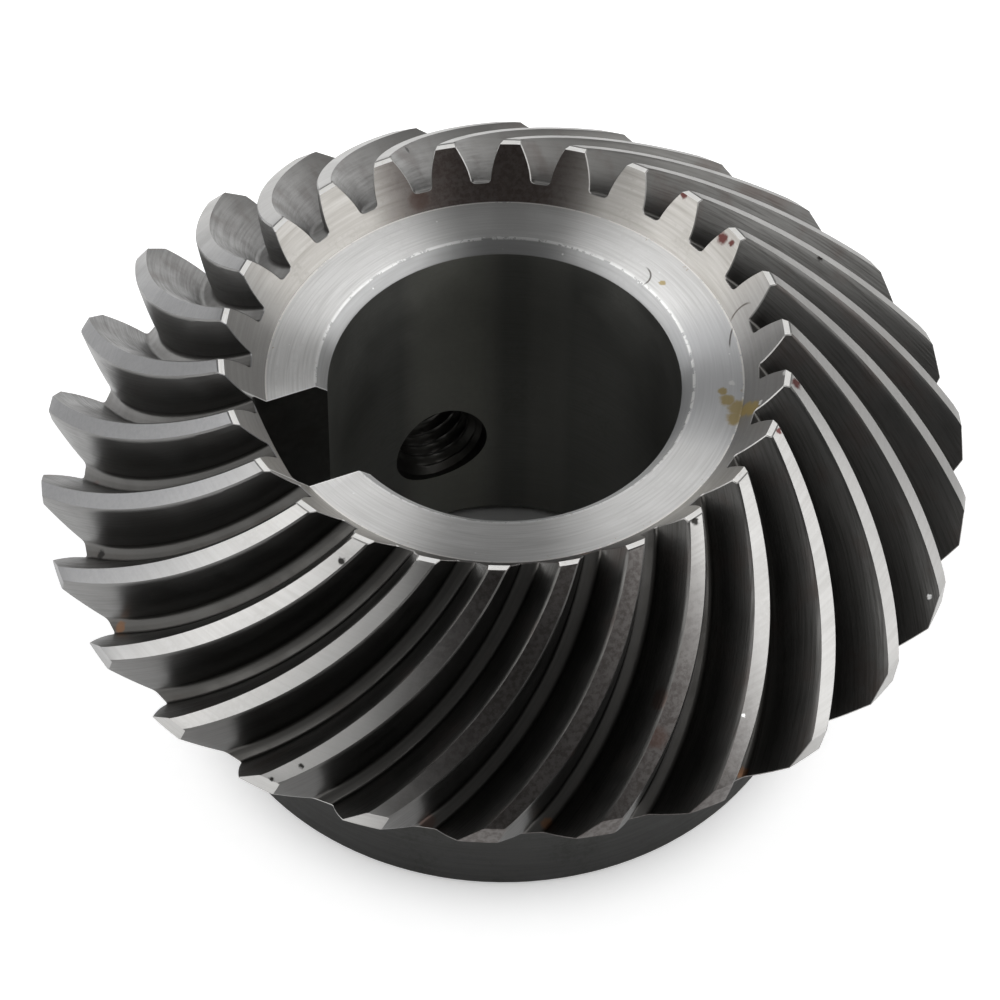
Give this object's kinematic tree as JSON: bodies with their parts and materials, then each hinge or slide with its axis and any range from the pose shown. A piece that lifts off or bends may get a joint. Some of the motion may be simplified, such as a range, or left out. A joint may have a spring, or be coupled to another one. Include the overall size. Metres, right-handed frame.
{
  "type": "spiral bevel gear",
  "caption": "Steel spiral bevel gear with curved teeth, a keyed shaft bore and a tapped hole in its hub for a set screw.",
  "frame": {"origin": "centre of the flat end of the hub, on the shaft axis", "axes": "+Z along the shaft axis from the flat hub end towards the toothed side, -X through the middle of the keyway, +Y through the tapped hole in the hub"},
  "size_m": [0.0794, 0.0796, 0.0399],
  "materials": {
    "gear_steel": "bare machined steel, bright on the turned faces and dark on the cut tooth flanks"
  },
  "bodies": {
    "root": {"gear": "gear_steel"}
  },
  "joints": []
}
